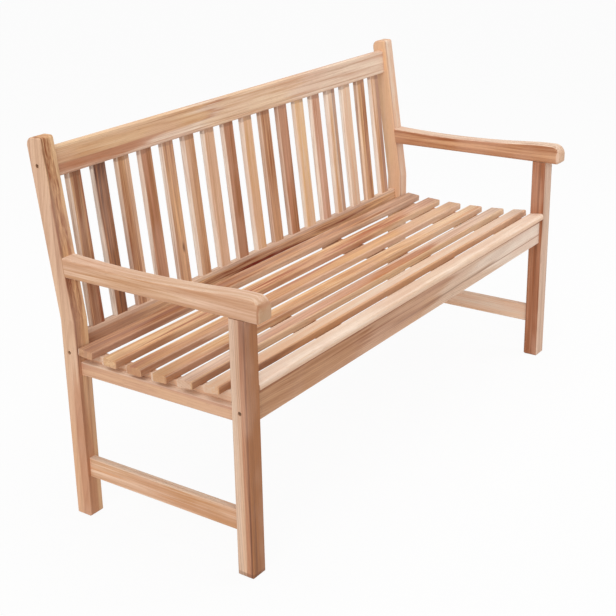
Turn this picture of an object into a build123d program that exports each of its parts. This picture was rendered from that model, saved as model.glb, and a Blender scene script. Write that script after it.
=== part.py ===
from build123d import *
from collections import namedtuple
from math import asin, atan2, cos, hypot, radians, sin, sqrt, tan
import os

# Slatted garden bench in solid timber, with every board, bearer and fixing as its own piece.
# X runs along the bench, +Y to the back and +Z up. The origin is on the floor, at the middle
# of the overall length and depth. "Left" is the -X end, on the left of somebody facing the bench.
# Millimetres throughout.

# ---------------------------------------------------------------- driving dimensions
# Overall
bench_length = 1500.0  # over the outer faces of the legs
post_height = 920.0  # floor to the top of the rear posts
arm_underside = 606.0  # floor to the underside of the arms
side_opening = 444.0  # from the back of a front leg to the front of a rear post

# Legs and posts
leg_width = 45.0  # along the bench
leg_depth = 43.0
leg_ease = 2.5  # bevel of the long edges
foot_chamfer = 3.0
knee_height = 500.0  # the posts stand upright to here and lean back above it
post_rake = 7.9  # degrees
post_crown_radius = 18.0  # rear corner of the post's top
post_brow_radius = 6.0  # front corner of the post's top

# Armrests
arm_overhang = 38.0  # in front of the front legs
arm_rear_height = 46.0
arm_hollow_height = 40.5  # at the lowest point of the top
arm_hollow_setback = 235.0  # from the front of the leg
arm_swell_height = 49.5  # where the hollow turns into the crown over the leg
arm_swell_setback = 60.0
arm_nose_height = 50.5
arm_nose_radius = 28.0
arm_chin_radius = 8.0
arm_ease = 5.0
arm_tenon_size = 24.0  # square tenon on top of the front leg
arm_tenon_length = 25.0
arm_loose_tenon_height = 22.0  # loose tenon between the arm and the rear post
arm_loose_tenon_thickness = 10.0
arm_loose_tenon_length = 50.0

# Side frames: seat rail and stretcher
side_board_thickness = 20.0
side_board_recess = 12.5  # behind the legs' outer faces
side_board_ease = 2.0
seat_rail_top = 400.0
seat_rail_height = 33.0
stretcher_top = 153.0
stretcher_height = 50.0
side_tenon_thickness = 10.0
side_tenon_length = 15.0
side_tenon_shoulder = 5.0

# Seat: slats laid on a shallow dish, chord by chord
seat_slat_count = 6  # full-length slats behind the front slat
seat_slat_width = 43.0
seat_slat_thickness = 18.5
seat_slat_overhang = 10.5  # past the side rails
seat_slat_rear_gap = 5.0  # between the last slat and the rear posts
front_slat_width = 45.0
front_slat_setback = 0.5
front_slat_side_gap = 0.5
front_nose_radius = 9.0
front_belly_radius = 6.0
slat_ease = 3.5  # rounding of the long edges
dish_radius = 1850.0
dish_setback = 295.0  # lowest line of the seat, from the front of the legs
dish_height = 431.0  # height of that line

# Seat bearers and front rail
bearer_thickness = 20.0
mid_bearer_x = 285.0
mid_bearer_height = 33.0  # under the lowest line of the dish
bearer_tenon_thickness = 10.0
bearer_tenon_length = 8.0
bearer_tenon_shoulder = 6.0
front_rail_thickness = 20.0
front_rail_recess = 11.0
front_rail_bottom = 361.0
front_rail_ease = 2.0

# Back: two rails and the slats between them, made flat and leaned back as one frame
back_rail_thickness = 21.0
top_rail_width = 68.0
top_rail_drop = 28.0  # below the tops of the posts
top_rail_recess = 11.0  # behind the front of the posts
lower_rail_width = 76.0
lower_rail_top = 462.0
lower_rail_recess = 13.0
back_rail_ease = 3.0
back_slat_count = 17
back_slat_width = 43.0
back_slat_thickness = 14.0
back_slat_inset = 3.0  # behind the front of the rails
back_slat_end_gap = 34.0  # from the posts to the outermost slats
back_slat_ease = 2.0
slat_tenon_thickness = 8.0
slat_tenon_length = 14.0
slat_tenon_shoulder = 6.0

# Long rails: stub tenon in each leg or post, drawn tight by a bolt and a barrel nut
stub_thickness = 12.0
stub_length = 12.0
stub_shoulder = 12.0
bolt_diameter = 6.0
bolt_head_diameter = 9.0
bolt_head_height = 5.0
bolt_head_depth = 3.0  # below the outer face of the leg
bolt_socket_size = 5.0  # across flats
bolt_socket_depth = 3.0
bolt_tip = 3.0  # beyond the axis of the barrel nut, inside it
barrel_nut_diameter = 10.0
barrel_nut_length = 14.0
barrel_nut_setback = 42.0  # from the end of the rail
head_side_count = 24  # sides of a bolt's head, in place of a round
fixing_side_count = 12  # sides of the hidden shanks and barrel nuts

# Loose tenons between the front rail and the front slat
seat_tenon_width = 45.0  # along the bench
seat_tenon_thickness = 8.0
seat_tenon_length = 26.0
seat_tenon_bite = 11.0  # into the front slat
seat_tenon_count = 5

# Clearances
joint_play = 0.2  # around a tenon
end_play = 1.0  # beyond the end of a tenon or a bolt
hole_play = 0.3  # around a bolt or a nut
thread_play = 0.1  # around a bolt in its nut

# ---------------------------------------------------------------- derived places
rake = tan(radians(post_rake))
lean_at_crown = (post_height - post_crown_radius - knee_height) * rake
crown_loss = post_crown_radius * (1 / cos(radians(post_rake)) - 1)
overall_depth = arm_overhang + 2 * leg_depth + side_opening + lean_at_crown - crown_loss

leg_front = arm_overhang - overall_depth / 2
leg_back = leg_front + leg_depth
post_foot = leg_back + side_opening
outer_x = bench_length / 2
inner_x = outer_x - leg_width
leg_x = -(outer_x + inner_x) / 2
clear_length = 2 * inner_x

side_board_x = -(outer_x - side_board_recess - side_board_thickness / 2)
end_bearer_x = side_board_x + (side_board_thickness + bearer_thickness) / 2

dish_y = leg_front + dish_setback
dish_centre_z = dish_height + dish_radius
front_slat_y = leg_front + front_slat_setback + front_slat_width / 2
slat_field = post_foot - seat_slat_rear_gap - (front_slat_y + front_slat_width / 2)
slat_pitch = slat_field / seat_slat_count
seat_slat_length = bench_length - 2 * side_board_recess + 2 * seat_slat_overhang
first_slat_y = front_slat_y + front_slat_width / 2 + slat_pitch - seat_slat_width / 2
front_rail_front = leg_front + front_rail_recess
front_rail_back = front_rail_front + front_rail_thickness
front_rail_y = (front_rail_front + front_rail_back) / 2


def post_front(z):
    """Y of the rear posts' front face at height z."""
    return post_foot + max(0.0, z - knee_height) * rake


lower_rail_z = lower_rail_top - lower_rail_width / 2
top_rail_z = post_height - top_rail_drop - top_rail_width / 2
back_start_y = post_front(lower_rail_z) + lower_rail_recess
back_run = post_front(top_rail_z) + top_rail_recess - back_start_y
back_rise = top_rail_z - lower_rail_z
back_lean = atan2(back_run, back_rise)
rail_spacing = hypot(back_run, back_rise)
back_slat_length = rail_spacing - (top_rail_width + lower_rail_width) / 2
back_slat_rise = (lower_rail_width + back_slat_length) / 2
slat_span = clear_length - 2 * back_slat_end_gap - back_slat_width
back_slat_pitch = slat_span / (back_slat_count - 1)

# Front of the back frame: local x along the bench, local y up the slats, facing forwards
back_plane = Plane(
    origin=(0, back_start_y, lower_rail_z),
    x_dir=(1, 0, 0),
    z_dir=(0, -cos(back_lean), sin(back_lean)),
)
back_slat_xs = [back_slat_pitch * i - slat_span / 2 for i in range(back_slat_count)]

nut_x = inner_x - barrel_nut_setback
bolt_seat_x = -outer_x + bolt_head_depth + bolt_head_height

arm_nose_y = leg_front - arm_overhang
arm_back_z = arm_underside + arm_rear_height
arm_back_y = post_front(arm_back_z)
arm_joint_z = arm_underside + arm_rear_height / 2


def upright(x):
    """Plane across the bench at x, with local x to the back and local y up."""
    return Plane.YZ.offset(x)


def crosswise(y):
    """Plane along the bench at y, with local y up; a negative extrusion runs to the back."""
    return Plane.XZ.offset(-y)


def chord_depth(width):
    """Distance from the dish's centre to the top of a slat of this width."""
    return sqrt(dish_radius**2 - (width / 2) ** 2)


def slat_plane(y, width):
    """Top of a seat slat whose middle is at y: a chord of the dish, with local y to the back."""
    depth = chord_depth(width)
    tilt = asin((y - dish_y) / depth)
    origin = (0, y, dish_centre_z - depth * cos(tilt))
    return Plane(origin=origin, x_dir=(1, 0, 0), z_dir=(0, -sin(tilt), cos(tilt)))


front_slat_plane = slat_plane(front_slat_y, front_slat_width)
seat_slat_planes = [
    slat_plane(first_slat_y + i * slat_pitch, seat_slat_width) for i in range(seat_slat_count)
]
# The bearers' top is the arc through the lower corners of the slats
widest_slat = max(front_slat_width, seat_slat_width)
bearer_radius = hypot(chord_depth(widest_slat) + seat_slat_thickness, widest_slat / 2)
end_bearer_bottom = seat_rail_top - seat_rail_height
mid_bearer_bottom = dish_height - seat_slat_thickness - mid_bearer_height
seat_tenon_pitch = clear_length / seat_tenon_count
seat_tenon_xs = [seat_tenon_pitch * (i + 0.5) - inner_x for i in range(seat_tenon_count)]


def bearer_top(y):
    """Height of the bearers' dished top edge at y."""
    return dish_centre_z - sqrt(bearer_radius**2 - (y - dish_y) ** 2)


def front_slat_underside(y):
    """Height of the front slat's underside at y."""
    base = front_slat_plane.offset(-seat_slat_thickness).origin
    return base.Z + (y - base.Y) * front_slat_plane.y_dir.Z / front_slat_plane.y_dir.Y


# The middle bearers' tenons share the height where both rails have wood for them
bearer_tenon_low = max(mid_bearer_bottom, lower_rail_top - lower_rail_width) + bearer_tenon_shoulder
bearer_tenon_high = bearer_top(post_foot) - bearer_tenon_shoulder
bearer_tenon_z = (bearer_tenon_low + bearer_tenon_high) / 2
bearer_tenon_height = bearer_tenon_high - bearer_tenon_low
bearer_back = back_start_y + (bearer_tenon_z - lower_rail_z) * tan(back_lean)

front_rail_height = front_slat_underside(front_rail_back) - front_rail_bottom
front_rail_rise = front_rail_bottom + front_rail_height / 2
front_rail_face = crosswise(front_rail_front)

# A long rail: the plane of its front face, the rise of its middle up that plane, and its section
LongRail = namedtuple("LongRail", "face rise height thickness")
front_long_rail = LongRail(front_rail_face, front_rail_rise, front_rail_height, front_rail_thickness)
lower_long_rail = LongRail(back_plane, 0.0, lower_rail_width, back_rail_thickness)
top_long_rail = LongRail(back_plane, rail_spacing, top_rail_width, back_rail_thickness)
long_rails = [front_long_rail, lower_long_rail, top_long_rail]


def rail_centre(rail):
    """Y and Z of the middle of a long rail's section."""
    middle = rail.face.from_local_coords((0, rail.rise, -rail.thickness / 2))
    return (middle.Y, middle.Z)


# ---------------------------------------------------------------- joints and holes
def rail_stubs(rail, play=0.0, end=0.0, mode=Mode.ADD):
    """The stub tenons of a long rail, as one bar that runs through it and out at both ends."""
    bar_length = clear_length + 2 * (stub_length + end)
    bar_height = rail.height - 2 * stub_shoulder + 2 * play
    with BuildSketch(rail.face.offset(play - (rail.thickness - stub_thickness) / 2)) as bar:
        with Locations((0, rail.rise)):
            Rectangle(bar_length, bar_height)
    extrude(bar.sketch, amount=-(stub_thickness + 2 * play), mode=mode)


def side_tenons(top, height, play=0.0, end=0.0, mode=Mode.ADD):
    """The tenons of a side board, as one bar that runs through it and out at both ends."""
    reach = side_tenon_length + end
    with BuildSketch(crosswise(leg_back - reach)) as bar:
        with Locations((side_board_x, top - height / 2)):
            Rectangle(side_tenon_thickness + 2 * play, height - 2 * side_tenon_shoulder + 2 * play)
    extrude(bar.sketch, amount=-(side_opening + 2 * reach), mode=mode)


def side_mortises():
    """The mortises for the seat rail and the stretcher in a leg or a post."""
    side_tenons(seat_rail_top, seat_rail_height, joint_play, end_play, Mode.SUBTRACT)
    side_tenons(stretcher_top, stretcher_height, joint_play, end_play, Mode.SUBTRACT)


def slat_tenons(stations, play=0.0, end=0.0, mode=Mode.ADD):
    """The tenons of the back slats at these stations, as bars that run out at both ends."""
    depth = back_slat_inset + (back_slat_thickness - slat_tenon_thickness) / 2
    bar_width = back_slat_width - 2 * slat_tenon_shoulder + 2 * play
    with BuildSketch(back_plane.offset(play - depth)) as bars:
        with Locations(*[(x, back_slat_rise) for x in stations]):
            Rectangle(bar_width, back_slat_length + 2 * (slat_tenon_length + end))
    extrude(bars.sketch, amount=-(slat_tenon_thickness + 2 * play), mode=mode)


def bearer_tenons(stations, play=0.0, end=0.0, mode=Mode.ADD):
    """The tenons of the middle bearers at these stations, front and back."""
    reach = bearer_tenon_length + end
    for start, stop in ((front_rail_back - reach, leg_back), (post_foot, bearer_back + reach)):
        with BuildSketch(crosswise(start)) as bars:
            with Locations(*[(x, bearer_tenon_z) for x in stations]):
                Rectangle(bearer_tenon_thickness + 2 * play, bearer_tenon_height + 2 * play)
        extrude(bars.sketch, amount=start - stop, mode=mode)


def x_hole(centre, start, stop, diameter):
    """A round hole along X between two stations."""
    with BuildSketch(upright(start)) as section:
        with Locations(centre):
            Circle(diameter / 2)
    extrude(section.sketch, amount=stop - start, mode=Mode.SUBTRACT)


def x_shank(centre, start, stop, diameter, mode=Mode.ADD):
    """A bolt's shank, or the bore that takes it, along X between two stations."""
    with BuildSketch(upright(start)) as section:
        with Locations(centre):
            RegularPolygon(diameter / 2, fixing_side_count)
    extrude(section.sketch, amount=stop - start, mode=mode)


def nut_top(rail):
    """Depth of the top of a barrel nut below the front face of its rail."""
    return (rail.thickness - barrel_nut_length) / 2


def leg_bolt_hole(rail):
    """Mortise, bolt hole and counterbore for one long rail in a left-hand leg or post."""
    rail_stubs(rail, joint_play, end_play, Mode.SUBTRACT)
    centre = rail_centre(rail)
    x_hole(centre, -outer_x, -inner_x, bolt_diameter + 2 * hole_play)
    x_hole(centre, -outer_x, bolt_seat_x, bolt_head_diameter + 2 * hole_play)


def rail_bolt_holes(rail):
    """Bolt hole in each end of a long rail, and barrel nut holes in from its hidden face."""
    for side in (-1, 1):
        rail_end = side * (inner_x + stub_length)
        hole_end = side * (nut_x - bolt_tip - end_play)
        x_hole(rail_centre(rail), rail_end, hole_end, bolt_diameter + 2 * hole_play)
    with BuildSketch(rail.face.offset(-nut_top(rail))) as holes:
        with Locations((-nut_x, rail.rise), (nut_x, rail.rise)):
            Circle(barrel_nut_diameter / 2 + hole_play)
    extrude(holes.sketch, amount=nut_top(rail) - rail.thickness, mode=Mode.SUBTRACT)


def bearer_blank(x, front_y, back_y, bottom):
    """A seat bearer with its dished top, from the front leg or rail to back_y."""
    middle_y = (front_y + back_y) / 2
    with BuildSketch(upright(x - bearer_thickness / 2)) as outline:
        with BuildLine():
            Polyline(
                (back_y, bearer_top(back_y)),
                (back_y, bottom),
                (front_y, bottom),
                (front_y, bearer_top(front_y)),
            )
            ThreePointArc(
                (front_y, bearer_top(front_y)),
                (middle_y, bearer_top(middle_y)),
                (back_y, bearer_top(back_y)),
            )
        make_face()
    extrude(outline.sketch, amount=bearer_thickness)


def left_and_right(name, piece):
    """A left-hand piece and its mirror image, under the names of both."""
    with BuildPart() as mirrored:
        mirror(piece.part, about=Plane.YZ)
    return {f"{name}_left": piece, f"{name}_right": mirrored}


def arm_loose_tenons(play=0.0, end=0.0, mode=Mode.ADD):
    """The loose tenon, or its mortises, where the left armrest butts against its post."""
    half = arm_loose_tenon_length / 2 + end
    joint_y = post_front(arm_joint_z)
    with BuildSketch(crosswise(joint_y - half)) as section:
        with Locations((leg_x, arm_joint_z)):
            Rectangle(arm_loose_tenon_thickness + 2 * play, arm_loose_tenon_height + 2 * play)
    extrude(section.sketch, amount=-2 * half, mode=mode)


def seat_loose_tenons(play=0.0, end=0.0, mode=Mode.ADD):
    """The loose tenons, or their mortises, between the front rail and the front slat."""
    top = seat_tenon_bite - seat_slat_thickness + end
    setback = (front_rail_y - front_slat_plane.origin.Y) / front_slat_plane.y_dir.Y
    with BuildSketch(front_slat_plane.offset(top)) as sections:
        with Locations(*[(x, setback) for x in seat_tenon_xs]):
            Rectangle(seat_tenon_width + 2 * play, seat_tenon_thickness + 2 * play)
    extrude(sections.sketch, amount=-(seat_tenon_length + 2 * end), mode=mode)


def side_board(top, height):
    """A board of the left side frame, tenoned into the front leg and the rear post."""
    with BuildSketch(crosswise(leg_back)) as section:
        with Locations((side_board_x, top - height / 2)):
            board = Rectangle(side_board_thickness, height)
        chamfer(board.vertices(), length=side_board_ease)
    extrude(section.sketch, amount=-side_opening)
    side_tenons(top, height)


def rail_blank(rail):
    """The board of a back rail, between the posts."""
    with BuildSketch(rail.face) as face:
        with Locations((0, rail.rise)):
            Rectangle(clear_length, rail.height)
    extrude(face.sketch, amount=-rail.thickness)


# ---------------------------------------------------------------- side frames, left-hand side
with BuildPart() as rear_post_left:
    with BuildSketch(upright(-outer_x)) as post_outline:
        with BuildLine():
            Polyline(
                (post_foot, 0),
                (post_foot, knee_height),
                (post_front(post_height), post_height),
                (post_front(post_height) + leg_depth, post_height),
                (post_foot + leg_depth, knee_height),
                (post_foot + leg_depth, 0),
                close=True,
            )
        make_face()
        top_corners = post_outline.vertices().group_by(Axis.Y)[-1].sort_by(Axis.X)
        fillet(top_corners[-1], radius=post_crown_radius)
        top_corners = post_outline.vertices().group_by(Axis.Y)[-1].sort_by(Axis.X)
        fillet(top_corners[0], radius=post_brow_radius)
    extrude(amount=leg_width)
    post_sides = rear_post_left.faces().filter_by(Axis.X)
    chamfer(post_sides.edges().filter_by(lambda e: e.center().Z > leg_ease), length=leg_ease)
    chamfer(rear_post_left.faces().sort_by(Axis.Z)[0].edges(), length=foot_chamfer)
    side_mortises()
    leg_bolt_hole(lower_long_rail)
    leg_bolt_hole(top_long_rail)
    arm_loose_tenons(joint_play, end_play, Mode.SUBTRACT)

with BuildPart() as front_leg_left:
    with BuildSketch(Plane.XY):
        with Locations((leg_x, leg_front + leg_depth / 2)):
            leg_section = Rectangle(leg_width, leg_depth)
        chamfer(leg_section.vertices(), length=leg_ease)
    extrude(amount=arm_underside)
    chamfer(front_leg_left.faces().sort_by(Axis.Z)[0].edges(), length=foot_chamfer)
    side_mortises()
    leg_bolt_hole(front_long_rail)
    with BuildSketch(Plane.XY.offset(arm_underside)):
        with Locations((leg_x, leg_front + leg_depth / 2)):
            Rectangle(arm_tenon_size, arm_tenon_size)
    extrude(amount=arm_tenon_length)

with BuildPart() as armrest_left:
    with BuildSketch(upright(-outer_x)):
        with BuildLine():
            Polyline(
                (arm_back_y, arm_back_z),
                (post_front(arm_underside), arm_underside),
                (arm_nose_y, arm_underside),
                (arm_nose_y, arm_underside + arm_nose_height),
            )
            hollow = ThreePointArc(
                (arm_back_y, arm_back_z),
                (leg_front + arm_hollow_setback, arm_underside + arm_hollow_height),
                (leg_front + arm_swell_setback, arm_underside + arm_swell_height),
            )
            TangentArc(
                hollow @ 1,
                (arm_nose_y, arm_underside + arm_nose_height),
                tangent=hollow % 1,
            )
        make_face()
    extrude(amount=leg_width)
    front_edges = armrest_left.edges().filter_by(Axis.X).sort_by(Axis.Y)[0:2].sort_by(Axis.Z)
    fillet(front_edges[1], radius=arm_nose_radius)
    front_edges = armrest_left.edges().filter_by(Axis.X).sort_by(Axis.Y)
    fillet(front_edges.group_by(Axis.Z)[0].sort_by(Axis.Y)[0], radius=arm_chin_radius)
    side_edges = armrest_left.faces().filter_by(Axis.X).edges()
    fillet(side_edges.filter_by(lambda e: e.center().Y < post_foot), radius=arm_ease)
    with BuildSketch(Plane.XY.offset(arm_underside)):
        with Locations((leg_x, leg_front + leg_depth / 2)):
            Rectangle(arm_tenon_size + 2 * joint_play, arm_tenon_size + 2 * joint_play)
    extrude(amount=arm_tenon_length + end_play, mode=Mode.SUBTRACT)
    arm_loose_tenons(joint_play, end_play, Mode.SUBTRACT)

with BuildPart() as side_seat_rail_left:
    side_board(seat_rail_top, seat_rail_height)

with BuildPart() as side_stretcher_left:
    side_board(stretcher_top, stretcher_height)

with BuildPart() as seat_end_bearer_left:
    bearer_blank(end_bearer_x, leg_back, post_foot, end_bearer_bottom)

# ---------------------------------------------------------------- seat
with BuildPart() as seat_mid_bearer_left:
    bearer_blank(-mid_bearer_x, front_rail_back, bearer_back + lower_rail_width, mid_bearer_bottom)
    split(bisect_by=back_plane, keep=Keep.TOP)
    bearer_tenons([-mid_bearer_x])

with BuildPart() as front_seat_rail:
    with BuildSketch(upright(-inner_x)):
        with BuildLine():
            Polyline(
                (front_rail_front, front_rail_bottom),
                (front_rail_back, front_rail_bottom),
                (front_rail_back, front_slat_underside(front_rail_back)),
                (front_rail_front, front_slat_underside(front_rail_front)),
                close=True,
            )
        make_face()
    extrude(amount=clear_length)
    lower_edges = front_seat_rail.edges().filter_by(Axis.X).group_by(Axis.Z)[0]
    chamfer(lower_edges, length=front_rail_ease)
    rail_stubs(front_long_rail)
    rail_bolt_holes(front_long_rail)
    bearer_tenons([-mid_bearer_x, mid_bearer_x], joint_play, end_play, Mode.SUBTRACT)
    seat_loose_tenons(joint_play, end_play, Mode.SUBTRACT)

with BuildPart() as front_seat_slat:
    with BuildSketch(front_slat_plane):
        Rectangle(clear_length - 2 * front_slat_side_gap, front_slat_width)
    extrude(amount=-seat_slat_thickness)
    long_edges = front_seat_slat.edges().filter_by(Axis.X)
    fillet(long_edges.sort_by(Axis.Y)[2:4], radius=slat_ease)
    front_edges = front_seat_slat.edges().filter_by(Axis.X).sort_by(Axis.Y)[0:2].sort_by(Axis.Z)
    fillet(front_edges[1], radius=front_nose_radius)
    front_edges = front_seat_slat.edges().filter_by(Axis.X).sort_by(Axis.Y)[0:2].sort_by(Axis.Z)
    fillet(front_edges[0], radius=front_belly_radius)
    seat_loose_tenons(joint_play, end_play, Mode.SUBTRACT)

seat_slats = {}
for number, plane in enumerate(seat_slat_planes, start=1):
    with BuildPart() as seat_slat:
        with BuildSketch(plane):
            Rectangle(seat_slat_length, seat_slat_width)
        extrude(amount=-seat_slat_thickness)
        fillet(seat_slat.edges().filter_by(Axis.X), radius=slat_ease)
    seat_slats[f"seat_slat_{number}"] = seat_slat

# ---------------------------------------------------------------- back
with BuildPart() as top_rail:
    rail_blank(top_long_rail)
    chamfer(top_rail.edges().filter_by(Axis.X), length=back_rail_ease)
    rail_stubs(top_long_rail)
    rail_bolt_holes(top_long_rail)
    slat_tenons(back_slat_xs, joint_play, end_play, Mode.SUBTRACT)

with BuildPart() as lower_back_rail:
    rail_blank(lower_long_rail)
    chamfer(lower_back_rail.edges().filter_by(Axis.X), length=back_rail_ease)
    rail_stubs(lower_long_rail)
    rail_bolt_holes(lower_long_rail)
    slat_tenons(back_slat_xs, joint_play, end_play, Mode.SUBTRACT)
    bearer_tenons([-mid_bearer_x, mid_bearer_x], joint_play, end_play, Mode.SUBTRACT)

back_slats = {}
slat_direction = Axis(back_plane.origin, back_plane.y_dir)
for number, x in enumerate(back_slat_xs, start=1):
    with BuildPart() as back_slat:
        with BuildSketch(back_plane.offset(-back_slat_inset)):
            with Locations((x, back_slat_rise)):
                Rectangle(back_slat_width, back_slat_length)
        extrude(amount=-back_slat_thickness)
        chamfer(back_slat.edges().filter_by(slat_direction), length=back_slat_ease)
        slat_tenons([x])
    back_slats[f"back_slat_{number:02d}"] = back_slat

# ---------------------------------------------------------------- fixings
with BuildPart() as connector_bolts:
    for rail in long_rails:
        with BuildSketch(upright(-outer_x + bolt_head_depth)):
            with Locations(rail_centre(rail)):
                RegularPolygon(bolt_head_diameter / 2, head_side_count)
        extrude(amount=bolt_head_height)
        with BuildSketch(upright(-outer_x + bolt_head_depth)):
            with Locations(rail_centre(rail)):
                RegularPolygon(bolt_socket_size / 2, 6, major_radius=False)
        extrude(amount=bolt_socket_depth, mode=Mode.SUBTRACT)
        x_shank(rail_centre(rail), bolt_seat_x, bolt_tip - nut_x, bolt_diameter)
    mirror(about=Plane.YZ)

with BuildPart() as barrel_nuts:
    for rail in long_rails:
        with BuildSketch(rail.face.offset(-nut_top(rail))):
            with Locations((-nut_x, rail.rise)):
                RegularPolygon(barrel_nut_diameter / 2, fixing_side_count)
        extrude(amount=-barrel_nut_length)
        bore = bolt_diameter + 2 * thread_play
        bore_end = bolt_tip + end_play - nut_x
        x_shank(rail_centre(rail), -inner_x, bore_end, bore, Mode.SUBTRACT)
    mirror(about=Plane.YZ)

with BuildPart() as seat_tenons:
    seat_loose_tenons()

with BuildPart() as armrest_tenons:
    arm_loose_tenons()
    mirror(about=Plane.YZ)

# ---------------------------------------------------------------- one STEP file for each piece
pieces = {
    **left_and_right("rear_post", rear_post_left),
    **left_and_right("front_leg", front_leg_left),
    **left_and_right("armrest", armrest_left),
    **left_and_right("side_seat_rail", side_seat_rail_left),
    **left_and_right("side_stretcher", side_stretcher_left),
    **left_and_right("seat_end_bearer", seat_end_bearer_left),
    **left_and_right("seat_mid_bearer", seat_mid_bearer_left),
    "front_seat_rail": front_seat_rail,
    "front_seat_slat": front_seat_slat,
    **seat_slats,
    "top_rail": top_rail,
    "lower_back_rail": lower_back_rail,
    **back_slats,
    "connector_bolts": connector_bolts,
    "barrel_nuts": barrel_nuts,
    "seat_tenons": seat_tenons,
    "armrest_tenons": armrest_tenons,
}
os.makedirs("parts", exist_ok=True)
for name, piece in pieces.items():
    piece.part.label = name
    export_step(piece.part, f"parts/{name}.step")
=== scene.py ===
from collections import namedtuple
from math import cos, floor, radians, sin

import bmesh
import bpy
from mathutils import Matrix, Vector


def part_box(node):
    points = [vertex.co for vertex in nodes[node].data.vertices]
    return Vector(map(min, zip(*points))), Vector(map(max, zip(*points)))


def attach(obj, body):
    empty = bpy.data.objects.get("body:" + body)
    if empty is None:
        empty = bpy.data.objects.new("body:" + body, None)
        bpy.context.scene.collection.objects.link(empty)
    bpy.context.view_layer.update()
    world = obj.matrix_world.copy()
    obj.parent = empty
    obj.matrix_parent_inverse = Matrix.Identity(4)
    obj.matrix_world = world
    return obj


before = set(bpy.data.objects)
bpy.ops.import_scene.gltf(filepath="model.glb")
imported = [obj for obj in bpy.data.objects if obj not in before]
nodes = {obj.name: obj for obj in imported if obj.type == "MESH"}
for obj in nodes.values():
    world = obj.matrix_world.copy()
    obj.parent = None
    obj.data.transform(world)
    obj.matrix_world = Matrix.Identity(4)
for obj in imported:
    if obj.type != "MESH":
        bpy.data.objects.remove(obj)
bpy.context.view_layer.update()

# The looks of a slatted teak garden bench. Lengths are in metres. The floor is at z = 0, x runs
# along the bench from its left end to its right end, and y from its front to its back.
ALONG = (1, 0, 0)
BACK = (0, 1, 0)
UP = (0, 0, 1)
LEFT = (-1, 0, 0)
FRONT = (0, -1, 0)
DOWN = (0, 0, -1)


# ------------------------------------------------------------------ shader maths
# Sockets of a Mix node that mixes colours, where names are shared and only numbers tell them apart
MIX_AMOUNT = 0
MIX_FIRST = 6
MIX_SECOND = 7
MIX_RESULT = 2


class Shade:
    """A socket of a material's node tree. Arithmetic on it adds Math nodes to the tree."""

    def __init__(self, socket):
        self.socket = socket
        self.tree = socket.id_data

    def node(self, kind, settings=None, inputs=None, output=0):
        """A node of any type: its settings first, then the values or links of its sockets."""
        return add_node(self.tree, kind, settings, inputs, output)

    def maths(self, operation, *values):
        """A Math node on any values or sockets."""
        return self.node("ShaderNodeMath", {"operation": operation}, dict(enumerate(values)))

    def vector(self, operation, other, output=0):
        """A Vector Math node on this vector and another one."""
        settings = {"operation": operation}
        return self.node("ShaderNodeVectorMath", settings, {0: self, 1: other}, output)

    def __add__(self, other):
        return self.maths("ADD", self, other)

    def __sub__(self, other):
        return self.maths("SUBTRACT", self, other)

    def __rsub__(self, other):
        return self.maths("SUBTRACT", other, self)

    def __mul__(self, other):
        return self.maths("MULTIPLY", self, other)

    def __truediv__(self, other):
        return self.maths("DIVIDE", self, other)

    def __pow__(self, other):
        return self.maths("POWER", self, other)

    def __abs__(self):
        return self.maths("ABSOLUTE", self)

    def __floor__(self):
        return self.maths("FLOOR", self)

    __radd__ = __add__
    __rmul__ = __mul__

    def towards(self, direction):
        """How far this vector reaches towards a direction, as a plain number."""
        return self.vector("DOT_PRODUCT", direction, output="Value")

    def limit(self, low, high):
        """This value, kept from low to high."""
        return self.maths("MINIMUM", self.maths("MAXIMUM", self, low), high)

    def step(self, low, high):
        """0 below low, 1 above high and a soft step between them."""
        settings = {"interpolation_type": "SMOOTHSTEP"}
        inputs = {"Value": self, "From Min": low, "From Max": high}
        return self.node("ShaderNodeMapRange", settings, inputs)

    def blend(self, first, second, clamp=True):
        """Two colours mixed by this amount. Without the clamp it goes past them outside 0 to 1."""
        settings = {"data_type": "RGBA", "clamp_factor": clamp}
        inputs = {MIX_AMOUNT: self, MIX_FIRST: first, MIX_SECOND: second}
        return self.node("ShaderNodeMix", settings, inputs, output=MIX_RESULT)


def add_node(tree, kind, settings=None, inputs=None, output=0):
    """Add a node to a tree and return one of its outputs, wrapped, where it has any."""
    node = tree.nodes.new(kind)
    for name, value in (settings or {}).items():
        setattr(node, name, value)
    for key, value in (inputs or {}).items():
        if isinstance(value, Shade):
            tree.links.new(value.socket, node.inputs[key])
        else:
            node.inputs[key].default_value = value
    return Shade(node.outputs[output]) if node.outputs else None


def empty_tree(owner):
    """The cleared node tree of a material or a world."""
    owner.use_nodes = True
    owner.node_tree.nodes.clear()
    return owner.node_tree


def close_tree(tree, inputs):
    """End a material in a principled surface with these values or links."""
    surface = add_node(tree, "ShaderNodeBsdfPrincipled", inputs=inputs)
    add_node(tree, "ShaderNodeOutputMaterial", inputs={"Surface": surface})


def linear(red, green, blue):
    """A colour given as it looks on a screen, from 0 to 255, as linear light."""
    channels = []
    for value in (red / 255, green / 255, blue / 255):
        channels.append(value / 12.92 if value < 0.04045 else ((value + 0.055) / 1.055) ** 2.4)
    return (*channels, 1.0)


# ------------------------------------------------------------------ timber
# Tones of sanded, untreated teak, from bleached sapwood to the darkest heartwood; some also serve
# as painted light and shade
TONES = {
    "bleached": linear(246, 230, 214),
    "cream": linear(229, 203, 180),
    "straw": linear(227, 188, 145),
    "pale": linear(226, 188, 157),
    "blush": linear(216, 174, 150),
    "honey": linear(214, 167, 123),
    "drab": linear(190, 160, 128),
    "tan": linear(200, 152, 114),
    "amber": linear(204, 135, 78),
    "clay": linear(187, 132, 100),
    "plum": linear(156, 112, 96),
    "brown": linear(165, 111, 75),
    "russet": linear(152, 94, 62),
    "umber": linear(110, 69, 48),
}

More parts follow.
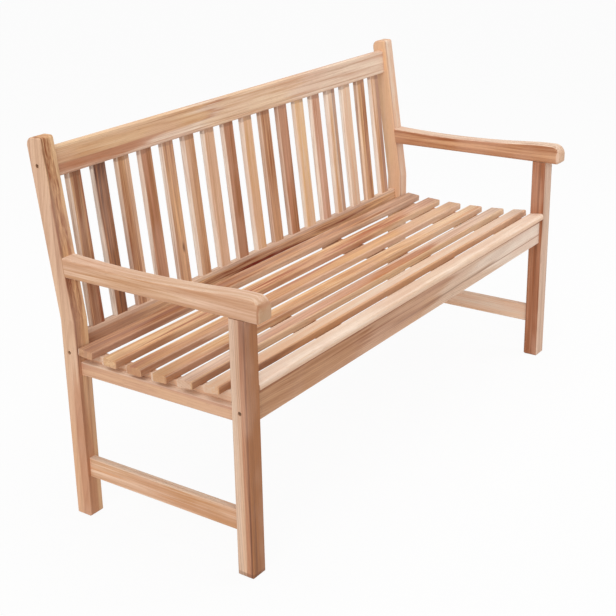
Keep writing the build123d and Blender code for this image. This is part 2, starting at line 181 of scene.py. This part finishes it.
EDGE = 1.0  # past the edge of any board, so a band that goes to EDGE goes all the way
BAND_SOFTNESS = 0.002  # half the width of a band's soft edges, across the grain
BAND_FADE = 0.05  # half the length of a band's soft ends, along the grain
ARRIS_WIDTH = 0.0035  # how far in from an edge the painted highlight on its arris starts
ARRIS_CREST = 0.0008  # how far in from the edge the painted highlight on the arris is full
GRAIN_RELIEF = 0.0006  # height of the raised grain
FIRST_SEED = 0.37  # the first board's number, which sets its place in the log
SEED_STEP = 0.618  # from one board's number to the next
LOG_STEP = Vector((3.7, 1.3, 2.1))  # how far apart two boards whose numbers differ by 1 were sawn

# How a board was cut: the direction of its grain, its light and dark tones, the tone and the
# strength of its figure, its bands and knots, how much painted light pales its upward faces, and
# how strong the painted highlight on its arrises is.
Cut = namedtuple("Cut", "grain light dark streak figure bands knots top worn")

# A stripe of another tone, which is other wood on some boards and painted light and shade on
# others: where it starts and stops towards a side, its tone and strength, and where it begins and
# ends along the grain, measured from the board's middle.
Band = namedtuple("Band", "side start stop tone strength begin end", defaults=(0.8, -EDGE, EDGE))

# A knot: its place towards a side and along the grain from the board's middle, and its size.
Knot = namedtuple("Knot", "side across along size")

# What the marks on a board follow: the offset from the board's middle, the place along its grain,
# the slow wander of its rings, and the noises that make a mark uneven.
Grain = namedtuple("Grain", "offset along wander broad narrow streaks")


def middle_of(node):
    """The middle of a piece's box."""
    low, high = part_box(node)
    return (Vector(low) + Vector(high)) / 2


# The back slats lean from one of the rails that hold them to the other
LEANING = tuple((middle_of("top_rail") - middle_of("lower_back_rail")).normalized())


def growth_rings(board, wander, seed):
    """A number from 0 to 1 for each ring, and its dark late wood, round a pith under the board."""
    slope_across = 0.03 * cos(seed * 3.3)
    slope_below = 0.05 * sin(seed * 2.9)
    pith_across = 0.05 * sin(seed * 5.1)
    pith_below = 0.06 + 0.03 * sin(seed * 7.7)
    rings_per_metre = 230 + 70 * sin(seed * 9.1)
    across = board.towards((slope_across, 1, 0)) + wander + pith_across
    below = board.towards((slope_below, 0, 1)) + pith_below
    ring = (across * across + below * below) ** 0.5 * rings_per_metre
    number = floor(ring)
    phase = ring - number
    year = number.node("ShaderNodeTexWhiteNoise", {"noise_dimensions": "1D"}, {"W": number})
    late = phase.step(0.45, 0.9) * (1 - phase.step(0.93, 1.0)) * (year * 0.75 + 0.25)
    return year, late


def stripe(place, start, stop, softness):
    """1 from start to stop, with soft edges; a start or a stop at EDGE is left open."""
    begun = place.step(start - softness, start + softness) if start > -EDGE else 1.0
    ended = place.step(stop - softness, stop + softness) if stop < EDGE else 0.0
    return begun * (1 - ended)


def add_bands(colour, bands, grain):
    """Lay stripes of other wood and of painted light and shade over a colour, each over the ones
    before it.
    """
    ragged = (grain.broad - 0.5) * 0.004 + grain.wander * 0.1
    along = grain.along + (grain.broad - 0.5) * 0.16 + (grain.narrow - 0.5) * 0.06
    uneven = grain.narrow * 0.25 + grain.streaks * 0.4 + 0.55
    for band in bands:
        across = grain.offset.towards(band.side) + ragged
        inside = stripe(across, band.start, band.stop, BAND_SOFTNESS)
        inside = inside * stripe(along, band.begin, band.end, BAND_FADE)
        colour = (inside * band.strength * uneven).blend(colour, TONES[band.tone])
    return colour


def add_knots(colour, knots, grain):
    """Lay dark knots over a colour, three times as long as they are wide and ragged outside."""
    for knot in knots:
        along = (grain.along - knot.along) / (knot.size * 3.0)
        across = (grain.offset.towards(knot.side) - knot.across) / knot.size
        reach = (along * along + across * across) ** 0.5 + (grain.narrow - 0.5) * 0.5
        colour = ((1 - reach.step(0.2, 1.2)) * 0.85).blend(colour, TONES["umber"])
    return colour


def arrises(node, grain, offset):
    """1 along the four long edges of a board, where it is near two of its sides at once."""
    sides = [ALONG, BACK, UP]
    if grain == LEANING:
        sides = [ALONG, LEANING, tuple(Vector(LEANING).cross(Vector(ALONG)))]
    centre = middle_of(node)
    near = []
    for side in sides:
        if side != grain:
            direction = Vector(side)
            half = max((vertex.co - centre).dot(direction) for vertex in nodes[node].data.vertices)
            reach = abs(offset.towards(side))
            near.append(reach.step(half - ARRIS_WIDTH, half - ARRIS_CREST))
    return near[0] * near[1]


def teak(name, node, cut, seed):
    """Sanded teak with its own growth rings, streaks, fibres and pores."""
    material = bpy.data.materials.new(name)
    tree = empty_tree(material)

    # The place on the bench, its offset from the board's middle, that offset turned so that the
    # grain lies along x, and the same place in the log that the board was sawn from
    place = add_node(tree, "ShaderNodeTexCoord", output="Object")
    offset = place.vector("SUBTRACT", middle_of(node))
    turn = Vector(cut.grain).rotation_difference(Vector(ALONG)).to_euler()
    board = offset.node("ShaderNodeMapping", inputs={"Vector": offset, "Rotation": turn})
    log = board.vector("ADD", seed * LOG_STEP)

    def drawn(along, across, detail=2.0, warp=0.0):
        """Noise drawn out along the grain; along and across are features to the metre."""
        inputs = {"Vector": log.vector("MULTIPLY", (along, across, across)), "Scale": 1.0}
        inputs.update({"Detail": detail, "Roughness": 0.55, "Distortion": warp})
        return log.node("ShaderNodeTexNoise", {"noise_dimensions": "3D"}, inputs)

    wander = (drawn(along=2.2, across=6.0) - 0.5) * 0.045
    year, late = growth_rings(board, wander, seed)

    # Broad and narrow colour bands, fine streaks and fibres, short dark pores, long mineral lines
    # and faint patches
    broad = drawn(along=1.3, across=24.0, warp=0.5).step(0.36, 0.64)
    narrow = drawn(along=3.0, across=95.0, warp=0.3).step(0.34, 0.66)
    streaks = drawn(along=4.0, across=230.0, warp=0.4)
    fibres = drawn(along=14.0, across=520.0, detail=3.0)
    pores = drawn(along=45.0, across=1700.0).step(0.6, 0.7)
    lines = drawn(along=1.1, across=70.0, warp=0.8).step(0.6, 0.7)
    patches = drawn(along=5.0, across=16.0).step(0.42, 0.66)

    tone = broad + narrow * 0.8 + year * 0.4 + streaks * 2.5 + fibres * 1.3 - 2.5
    colour = tone.limit(-0.4, 1.4).blend(TONES[cut.dark], TONES[cut.light], clamp=False)
    grain = Grain(offset, board.towards(ALONG), wander, broad, narrow, streaks)
    colour = add_bands(colour, cut.bands, grain)

    # Painted light: the faces that look up are painted paler, as if lit from above
    normal = place.node("ShaderNodeNewGeometry", output="Normal")
    painted_top_light = normal.towards(UP).step(0.5, 0.9)
    colour = (painted_top_light * cut.top * (narrow * 0.4 + 0.6)).blend(colour, TONES["cream"])

    colour = (patches * 0.3).blend(colour, TONES["blush"])
    colour = (late * cut.figure * 0.7).blend(colour, TONES[cut.streak])
    colour = (lines * cut.figure).blend(colour, TONES[cut.streak])
    colour = (pores * 0.3).blend(colour, TONES["umber"])
    colour = add_knots(colour, cut.knots, grain)

    # Arrises get a painted highlight, as edges that catch the light, and end grain takes up more
    # grime and shows darker
    colour = (arrises(node, cut.grain, offset) * cut.worn).blend(colour, TONES["cream"])
    facing = normal.towards(cut.grain)
    end = (facing * facing).step(0.6, 0.9)
    colour = (end * 0.4).blend(colour, TONES["tan"])

    relief = fibres * 0.6 - pores * 0.8 - late * 0.3
    inputs = {"Strength": 0.25, "Distance": GRAIN_RELIEF, "Height": relief}
    bump = relief.node("ShaderNodeBump", inputs=inputs)
    rough = fibres * 0.18 - late * 0.06 + end * 0.1 + 0.56
    inputs = {"Base Color": colour, "Roughness": rough, "Normal": bump, "Specular IOR Level": 0.25}
    close_tree(tree, inputs)
    return material


def sawn(grain, light, dark, streak, figure, *bands, knots=(), top=0.0, worn=0.3):
    """How a board was cut, with its bands listed after its figure."""
    return Cut(grain, light, dark, streak, figure, bands, knots, top, worn)


def seat_slat(light, dark, streak, figure, *bands):
    """A slat of the seat: a painted highlight on its back edge, painted light towards its right end
    and painted shade at the left of its front.
    """
    painted_light_right_end = Band(UP, -EDGE, EDGE, "cream", 0.4, 0.50, EDGE)
    painted_highlight_back_edge = Band(BACK, 0.0185, EDGE, "bleached", 0.8)
    painted_shade_front_left = Band(FRONT, 0.0190, EDGE, "russet", 0.8, -EDGE, -0.5)
    return sawn(ALONG, light, dark, streak, figure, *bands, painted_light_right_end, painted_highlight_back_edge, painted_shade_front_left)


def back_slat(light, dark, streak, figure, *bands, painted_side_light=1.0, knots=()):
    """A slat of the back: painted light pales its left side, and painted shadow darkens it under
    the top rail.
    """
    low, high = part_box("back_slat_01")
    half_width = (high[0] - low[0]) / 2
    under_rail = (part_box("top_rail")[0][2] - middle_of("back_slat_01")[2]) / LEANING[2]
    painted_lit_left_side = Band(LEFT, half_width - 0.003, EDGE, "bleached", painted_side_light)
    painted_rail_shadow = Band(LEANING, under_rail - 0.009, EDGE, "umber", 0.5)
    return sawn(LEANING, light, dark, streak, figure, *bands, painted_lit_left_side, painted_rail_shadow, knots=knots)


def timber():
    """Every board of the bench and how it was cut."""
    return {
        "rear_post_left": sawn(
            UP, "honey", "brown", "russet", 0.3,
            Band(LEFT, 0.0195, EDGE, "pale", 0.95),
            Band(LEFT, 0.013, 0.018, "umber", 0.6),
            Band(FRONT, -EDGE, EDGE, "amber", 0.3, -EDGE, -0.12),
            Band(FRONT, 0.028, EDGE, "clay", 0.8, -EDGE, -0.14),
            Band(ALONG, 0.010, EDGE, "straw", 0.8),
            worn=0.1,
        ),
        "rear_post_right": sawn(
            UP, "cream", "pale", "tan", 0.3,
            Band(LEFT, 0.0195, EDGE, "honey", 0.8),
            Band(LEFT, 0.014, 0.0195, "clay", 0.7),
            Band(ALONG, 0.004, EDGE, "blush", 0.5),
        ),
        "front_leg_left": sawn(
            UP, "clay", "russet", "umber", 0.5,
            Band(LEFT, 0.0195, EDGE, "pale", 0.95),
            Band(BACK, 0.004, EDGE, "cream", 0.6),
            Band(FRONT, 0.003, EDGE, "clay", 1.1),
            Band(FRONT, 0.003, EDGE, "russet", 0.8, 0.06, EDGE),
            Band(FRONT, 0.005, 0.018, "umber", 0.5, 0.15, EDGE),
            Band(FRONT, 0.0145, 0.0195, "umber", 0.9),
            Band(FRONT, 0.0190, EDGE, "brown", 1.4),
            Band(FRONT, 0.0198, EDGE, "amber", 0.2),
            Band(DOWN, 0.303, EDGE, "umber", 0.5),
            worn=0.0,
        ),
        "front_leg_right": sawn(
            UP, "clay", "russet", "umber", 0.5,
            Band(LEFT, -EDGE, EDGE, "russet", 0.5),
            Band(FRONT, 0.0185, EDGE, "cream", 0.75),
        ),
        "armrest_left": sawn(
            BACK, "pale", "tan", "clay", 0.45,
            Band(LEFT, 0.020, EDGE, "blush", 0.4, -EDGE, -0.06),
            Band(ALONG, 0.012, EDGE, "cream", 0.6),
            Band(FRONT, 0.2655, 0.2705, "brown", 0.9),
            Band(FRONT, 0.2705, EDGE, "drab", 0.9),
            top=0.6,
        ),
        "armrest_right": sawn(
            BACK, "tan", "brown", "brown", 0.5,
            # Painted shade along the lower part of the arm and its underside
            Band(DOWN, 0.012, EDGE, "brown", 0.6),
            Band(FRONT, 0.266, EDGE, "cream", 0.8),
            top=1.1,
        ),
        "side_seat_rail_left": sawn(
            BACK, "honey", "clay", "clay", 0.35,
            Band(LEFT, 0.0, EDGE, "blush", 0.5),
            top=1.1,
        ),
        "side_seat_rail_right": sawn(BACK, "honey", "tan", "amber", 0.4, top=1.0),
        "side_stretcher_left": sawn(BACK, "pale", "tan", "amber", 0.4, top=1.2),
        "side_stretcher_right": sawn(BACK, "cream", "pale", "amber", 0.4, top=1.0),
        "seat_end_bearer_left": sawn(BACK, "cream", "pale", "amber", 0.4),
        "seat_end_bearer_right": sawn(
            BACK, "honey", "tan", "brown", 0.4,
            Band(UP, 0.0, EDGE, "pale", 0.8),
        ),
        "seat_mid_bearer_left": sawn(BACK, "tan", "brown", "umber", 0.4),
        "seat_mid_bearer_right": sawn(BACK, "tan", "brown", "umber", 0.4),
        "front_seat_rail": sawn(
            ALONG, "tan", "brown", "russet", 0.6,
            # Painted light: the next four bands make the rail paler towards its right end, where
            # the light falls brighter
            Band(DOWN, -EDGE, EDGE, "tan", 0.7, -EDGE, -0.35),
            Band(DOWN, -EDGE, EDGE, "pale", 0.5, -0.30, EDGE),
            Band(DOWN, -EDGE, EDGE, "cream", 0.7, 0.08, EDGE),
            Band(DOWN, -EDGE, EDGE, "bleached", 0.6, 0.45, EDGE),
            Band(DOWN, -0.024, 0.004, "bleached", 0.6, 0.25, EDGE),
            Band(DOWN, 0.008, 0.013, "umber", 0.6, -0.20, 0.50),
            # Painted shadow: the top of the rail is darker under the nose of the front seat slat
            Band(UP, 0.028, EDGE, "russet", 0.8),
        ),
        "front_seat_slat": sawn(
            ALONG, "bleached", "cream", "honey", 0.25,
            Band(DOWN, -0.004, EDGE, "pale", 0.8),
            Band(BACK, -EDGE, EDGE, "pale", 0.4),
        ),
        "seat_slat_1": seat_slat(
            "cream", "pale", "honey", 0.3,
            Band(FRONT, 0.0165, EDGE, "amber", 0.9),
            Band(FRONT, 0.0165, EDGE, "straw", 0.35),
        ),
        "seat_slat_2": seat_slat(
            "blush", "clay", "plum", 0.5,
            Band(UP, -EDGE, EDGE, "cream", 0.6, -EDGE, -0.45),
            Band(UP, -EDGE, EDGE, "amber", 0.35, -0.40, 0.10),
            Band(UP, -EDGE, EDGE, "cream", 0.6, 0.25, EDGE),
            Band(BACK, 0.009, EDGE, "cream", 0.6),
            Band(FRONT, 0.017, EDGE, "straw", 1.1),
        ),
        "seat_slat_3": seat_slat(
            "straw", "tan", "amber", 0.5,
            Band(UP, -EDGE, EDGE, "brown", 0.5, -EDGE, -0.55),
            Band(FRONT, 0.018, EDGE, "tan", 0.5),
        ),
        "seat_slat_4": seat_slat(
            "honey", "clay", "brown", 0.4,
            Band(UP, -EDGE, EDGE, "brown", 0.4, -EDGE, -0.5),
            Band(FRONT, 0.018, EDGE, "pale", 0.6),
        ),
        "seat_slat_5": seat_slat(
            "straw", "clay", "amber", 0.4,
            Band(FRONT, 0.018, EDGE, "honey", 0.6),
        ),
        "seat_slat_6": seat_slat(
            "tan", "brown", "plum", 0.6,
            Band(FRONT, -0.004, 0.006, "plum", 0.6),
            Band(FRONT, 0.018, EDGE, "pale", 0.5),
        ),
        "top_rail": sawn(
            ALONG, "cream", "clay", "brown", 0.4,
            Band(UP, -0.010, EDGE, "straw", 0.8, -EDGE, -0.20),
            Band(DOWN, 0.004, 0.024, "clay", 1.0, -EDGE, -0.33),
            # Painted highlight along the lower edge, where it catches the light from below
            Band(DOWN, 0.027, EDGE, "cream", 0.6),
            Band(UP, -EDGE, EDGE, "straw", 0.5, -0.10, 0.30),
            Band(UP, -EDGE, EDGE, "cream", 0.6, 0.30, EDGE),
        ),
        "lower_back_rail": sawn(
            ALONG, "honey", "russet", "plum", 0.45,
            Band(UP, -EDGE, EDGE, "russet", 0.7, -EDGE, -0.40),
            Band(UP, 0.030, EDGE, "cream", 0.7),
            Band(DOWN, -0.004, 0.012, "plum", 0.5),
        ),
        "back_slat_01": back_slat(
            "tan", "russet", "umber", 0.5,
            Band(LEFT, -0.008, 0.010, "umber", 0.4),
        ),
        "back_slat_02": back_slat(
            "brown", "umber", "umber", 0.5,
            Band(FRONT, 0.020, EDGE, "umber", 0.25),
        ),
        "back_slat_03": back_slat(
            "honey", "brown", "russet", 0.5,
            Band(ALONG, 0.002, EDGE, "pale", 0.8),
            painted_side_light=0.5,
        ),
        "back_slat_04": back_slat(
            "clay", "brown", "russet", 0.4,
            Band(ALONG, 0.012, EDGE, "tan", 0.7),
        ),
        "back_slat_05": back_slat(
            "honey", "brown", "brown", 0.4,
            knots=(Knot(ALONG, 0.006, -0.09, 0.006),),
        ),
        "back_slat_06": back_slat(
            "tan", "brown", "russet", 0.5,
            Band(LEFT, 0.002, EDGE, "pale", 0.5),
        ),
        "back_slat_07": back_slat("pale", "tan", "tan", 0.3),
        "back_slat_08": back_slat("clay", "brown", "russet", 0.4),
        "back_slat_09": back_slat("pale", "honey", "tan", 0.25),
        "back_slat_10": back_slat("tan", "brown", "russet", 0.4, painted_side_light=0.4),
        "back_slat_11": back_slat("clay", "brown", "russet", 0.5, painted_side_light=0.5),
        "back_slat_12": back_slat("cream", "straw", "honey", 0.3),
        "back_slat_13": back_slat(
            "blush", "clay", "brown", 0.5,
            Band(ALONG, 0.0, EDGE, "clay", 0.6),
        ),
        "back_slat_14": back_slat(
            "cream", "honey", "tan", 0.3,
            Band(ALONG, 0.004, EDGE, "plum", 0.7),
        ),
        "back_slat_15": back_slat("cream", "pale", "tan", 0.3),
        "back_slat_16": back_slat("honey", "brown", "brown", 0.4, painted_side_light=0.4),
        "back_slat_17": back_slat(
            "pale", "tan", "tan", 0.3,
            Band(ALONG, 0.002, EDGE, "plum", 0.8),
        ),
        "seat_tenons": sawn(ALONG, "pale", "tan", "brown", 0.3),
        "armrest_tenons": sawn(BACK, "pale", "tan", "brown", 0.3),
    }


# ------------------------------------------------------------------ steel
def steel(name, tint):
    """Stainless steel, dulled by handling."""
    material = bpy.data.materials.new(name)
    tree = empty_tree(material)
    place = add_node(tree, "ShaderNodeTexCoord", output="Object")
    inputs = {"Vector": place, "Scale": 900.0, "Detail": 3.0}
    grime = place.node("ShaderNodeTexNoise", inputs=inputs)
    colour = (grime.step(0.4, 0.7) * 0.5).blend(tint, linear(70, 60, 52))
    close_tree(tree, {"Base Color": colour, "Roughness": grime * 0.3 + 0.3, "Metallic": 1.0})
    return material


# ------------------------------------------------------------------ pieces
def finish_node(name, material):
    """Give a carried-over piece its finish."""
    mesh = nodes[name].data
    mesh.materials.clear()
    mesh.materials.append(material)


def place_in_scene(name, data):
    """An object of a mesh, a lamp or a camera, in the scene."""
    thing = bpy.data.objects.new(name, data)
    bpy.context.scene.collection.objects.link(thing)
    return thing


def make_object(name, shape, material):
    """An object of a bmesh, with its material."""
    mesh = bpy.data.meshes.new(name)
    shape.to_mesh(mesh)
    shape.free()
    mesh.materials.append(material)
    return place_in_scene(name, mesh)


# ------------------------------------------------------------------ screws under the seat
SCREW_HEAD = 0.008  # across the head
SCREW_CROWN = 0.00608  # across the flat top of the head
SCREW_RISE = 0.0024  # height of the head
SCREW_SINK = 0.0008  # how far the head is drawn into the timber
SCREW_SEGMENTS = 20
RECESS_RIM = 0.00144  # width of the crown round the recess for the driver
RECESS_TAPER = 0.00024  # how much the recess narrows on its way down
RECESS_DEPTH = 0.0012
SEAT_SLATS = 6  # behind the front seat slat
SIDE_SCREW_SHARES = (0.12, 0.5, 0.88)  # along an end bearer, from its front end
SIDE_SCREW_RISE = 0.016  # above the underside of an end bearer


def add_screw(shape, seat, direction):
    """One pan-head screw on a surface at seat, with its head towards a direction."""
    turn = Vector(UP).rotation_difference(Vector(direction)).to_matrix().to_4x4()
    lift = Matrix.Translation((0, 0, SCREW_RISE / 2 - SCREW_SINK))
    head = bmesh.ops.create_cone(
        shape, cap_ends=True, segments=SCREW_SEGMENTS,
        radius1=SCREW_HEAD / 2, radius2=SCREW_CROWN / 2, depth=SCREW_RISE,
        matrix=Matrix.Translation(seat) @ turn @ lift,
    )
    faces = {face for vertex in head["verts"] for face in vertex.link_faces}
    crown = max(faces, key=lambda face: face.normal.dot(Vector(direction)) * face.calc_area())
    bmesh.ops.inset_individual(shape, faces=[crown], thickness=RECESS_RIM, depth=0.0)
    bmesh.ops.inset_individual(shape, faces=[crown], thickness=RECESS_TAPER, depth=-RECESS_DEPTH)


def finish_piece(name, shape, material):
    """Make a piece of a bmesh and let it ride on the bench."""
    bmesh.ops.recalc_face_normals(shape, faces=shape.faces)
    piece = make_object(name, shape, material)
    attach(piece, "root")


def build_screws(material):
    """Screws from the bearers up into each slat, and from the end bearers into the side rails."""
    slat_screws = bmesh.new()
    rail_screws = bmesh.new()
    slats = [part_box(f"seat_slat_{number}") for number in range(1, SEAT_SLATS + 1)]
    for place in ("end", "mid"):
        for hand in ("left", "right"):
            low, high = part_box(f"seat_{place}_bearer_{hand}")
            middle = (low[0] + high[0]) / 2
            for slat_low, slat_high in slats:
                seat = Vector((middle, (slat_low[1] + slat_high[1]) / 2, low[2]))
                add_screw(slat_screws, seat, DOWN)
            if place == "end":
                inward = LEFT if hand == "right" else ALONG
                face = low[0] if hand == "right" else high[0]
                for share in SIDE_SCREW_SHARES:
                    y = low[1] + share * (high[1] - low[1])
                    seat = Vector((face, y, low[2] + SIDE_SCREW_RISE))
                    add_screw(rail_screws, seat, inward)
    finish_piece("seat_slat_screws", slat_screws, material)
    finish_piece("end_bearer_screws", rail_screws, material)


# ------------------------------------------------------------------ studio
BACKDROP = 0.98  # a hair under pure white, as the floor is
FLOOR_REACH = 60.0  # from the bench to the edge of the floor
FLOOR_TONE = 0.82  # of the floor itself, which takes the shadow
FLOOR_GLOW = 0.93  # share of plain white over the floor's own tone

CAMERA_PLACE = (-2.5788, -1.6891, 1.5279)
CAMERA_ROUND = -53.2  # degrees round from straight in front; minus is towards the left
CAMERA_DOWN = 20.34  # degrees that it looks down
CAMERA_ROLL = 1.83  # degrees
SENSOR_WIDTH = 36.0  # millimetres
LENS_LENGTH = 72.3  # millimetres
LENS_SHIFT = (0.0747, -0.0267)  # shares of the sensor's width


def backdrop_rays(tree):
    """1 for the rays that show the backdrop itself, in view, in gloss or through glass."""
    seen = add_node(tree, "ShaderNodeLightPath", output="Is Camera Ray")
    glossy = seen.node("ShaderNodeLightPath", output="Is Glossy Ray")
    clear = seen.node("ShaderNodeLightPath", output="Is Transmission Ray")
    return seen.maths("MINIMUM", seen + glossy + clear, 1.0)


def build_floor():
    """A plain pale floor that shows as white and keeps a faint shadow."""
    material = bpy.data.materials.new("pale_floor")
    tree = empty_tree(material)
    paper_tone = (FLOOR_TONE, FLOOR_TONE, FLOOR_TONE, 1)
    paper = add_node(tree, "ShaderNodeBsdfDiffuse", inputs={"Color": paper_tone})
    glow = paper.node("ShaderNodeEmission", inputs={"Color": (1, 1, 1, 1), "Strength": 1.0})
    amount = backdrop_rays(tree) * FLOOR_GLOW
    surface = paper.node("ShaderNodeMixShader", inputs={0: amount, 1: paper, 2: glow})
    paper.node("ShaderNodeOutputMaterial", inputs={"Surface": surface})
    shape = bmesh.new()
    bmesh.ops.create_grid(shape, x_segments=1, y_segments=1, size=FLOOR_REACH)
    floor = make_object("floor", shape, material)


def light_world(strength):
    """Even studio light all round, with a white backdrop."""
    world = bpy.data.worlds.new("studio")
    bpy.context.scene.world = world
    tree = empty_tree(world)
    level = backdrop_rays(tree) * (BACKDROP - strength) + strength
    inputs = {"Color": (1, 1, 1, 1), "Strength": level}
    surface = level.node("ShaderNodeBackground", inputs=inputs)
    level.node("ShaderNodeOutputWorld", inputs={"Surface": surface})


def aim(lamp_object, direction):
    """Turn a lamp so that it shines in a direction."""
    lamp_object.rotation_euler = Vector(direction).to_track_quat("-Z", "Y").to_euler()


def softbox(name, place, target, size, power):
    """A large soft lamp that points at a spot on the bench."""
    lamp = bpy.data.lights.new(name, "AREA")
    lamp.shape = "SQUARE"
    lamp.size = size
    lamp.energy = power
    box = place_in_scene(name, lamp)
    box.location = place
    aim(box, Vector(target) - Vector(place))


def distant_light(name, source, strength, spread):
    """A very large soft lamp, so far off that it lights both ends of the bench alike."""
    lamp = bpy.data.lights.new(name, "SUN")
    lamp.energy = strength
    lamp.angle = radians(spread)
    aim(place_in_scene(name, lamp), -Vector(source))


def build_camera():
    """A long lens off the left end of the bench, in front of it and above its arms."""
    bearing = radians(CAMERA_ROUND)
    dip = radians(CAMERA_DOWN)
    forward = Vector((-sin(bearing) * cos(dip), cos(bearing) * cos(dip), -sin(dip)))
    level = forward.cross(Vector(UP)).normalized()
    right = Matrix.Rotation(radians(CAMERA_ROLL), 3, forward) @ level
    up = right.cross(forward)
    axes = Matrix((right, up, -forward)).transposed().to_4x4()
    lens = bpy.data.cameras.new("camera")
    lens.sensor_width = SENSOR_WIDTH
    lens.lens = LENS_LENGTH
    lens.shift_x, lens.shift_y = LENS_SHIFT
    camera = place_in_scene("camera", lens)
    camera.matrix_world = Matrix.Translation(CAMERA_PLACE) @ axes
    bpy.context.scene.camera = camera


# ------------------------------------------------------------------ the bench
for number, (node_name, cut) in enumerate(timber().items()):
    seed = FIRST_SEED + number * SEED_STEP
    finish_node(node_name, teak(f"teak_{node_name}", node_name, cut, seed))
bolt_steel = steel("bolt_steel", linear(186, 160, 136))
finish_node("connector_bolts", bolt_steel)
finish_node("barrel_nuts", steel("nut_steel", linear(150, 148, 144)))
build_screws(bolt_steel)

build_floor()
light_world(strength=0.45)
softbox("overhead", place=(0.0, 0.1, 3.4), target=(0, 0, 0.4), size=2.6, power=46.0)
softbox("right_front", place=(2.2, -2.2, 1.3), target=(0.7, 0, 0.5), size=1.4, power=16.0)
distant_light("painted_lit_left_side", source=(-0.85, -0.32, 0.42), strength=1.55, spread=50.0)
build_camera()
bpy.context.scene.view_settings.view_transform = "Standard"
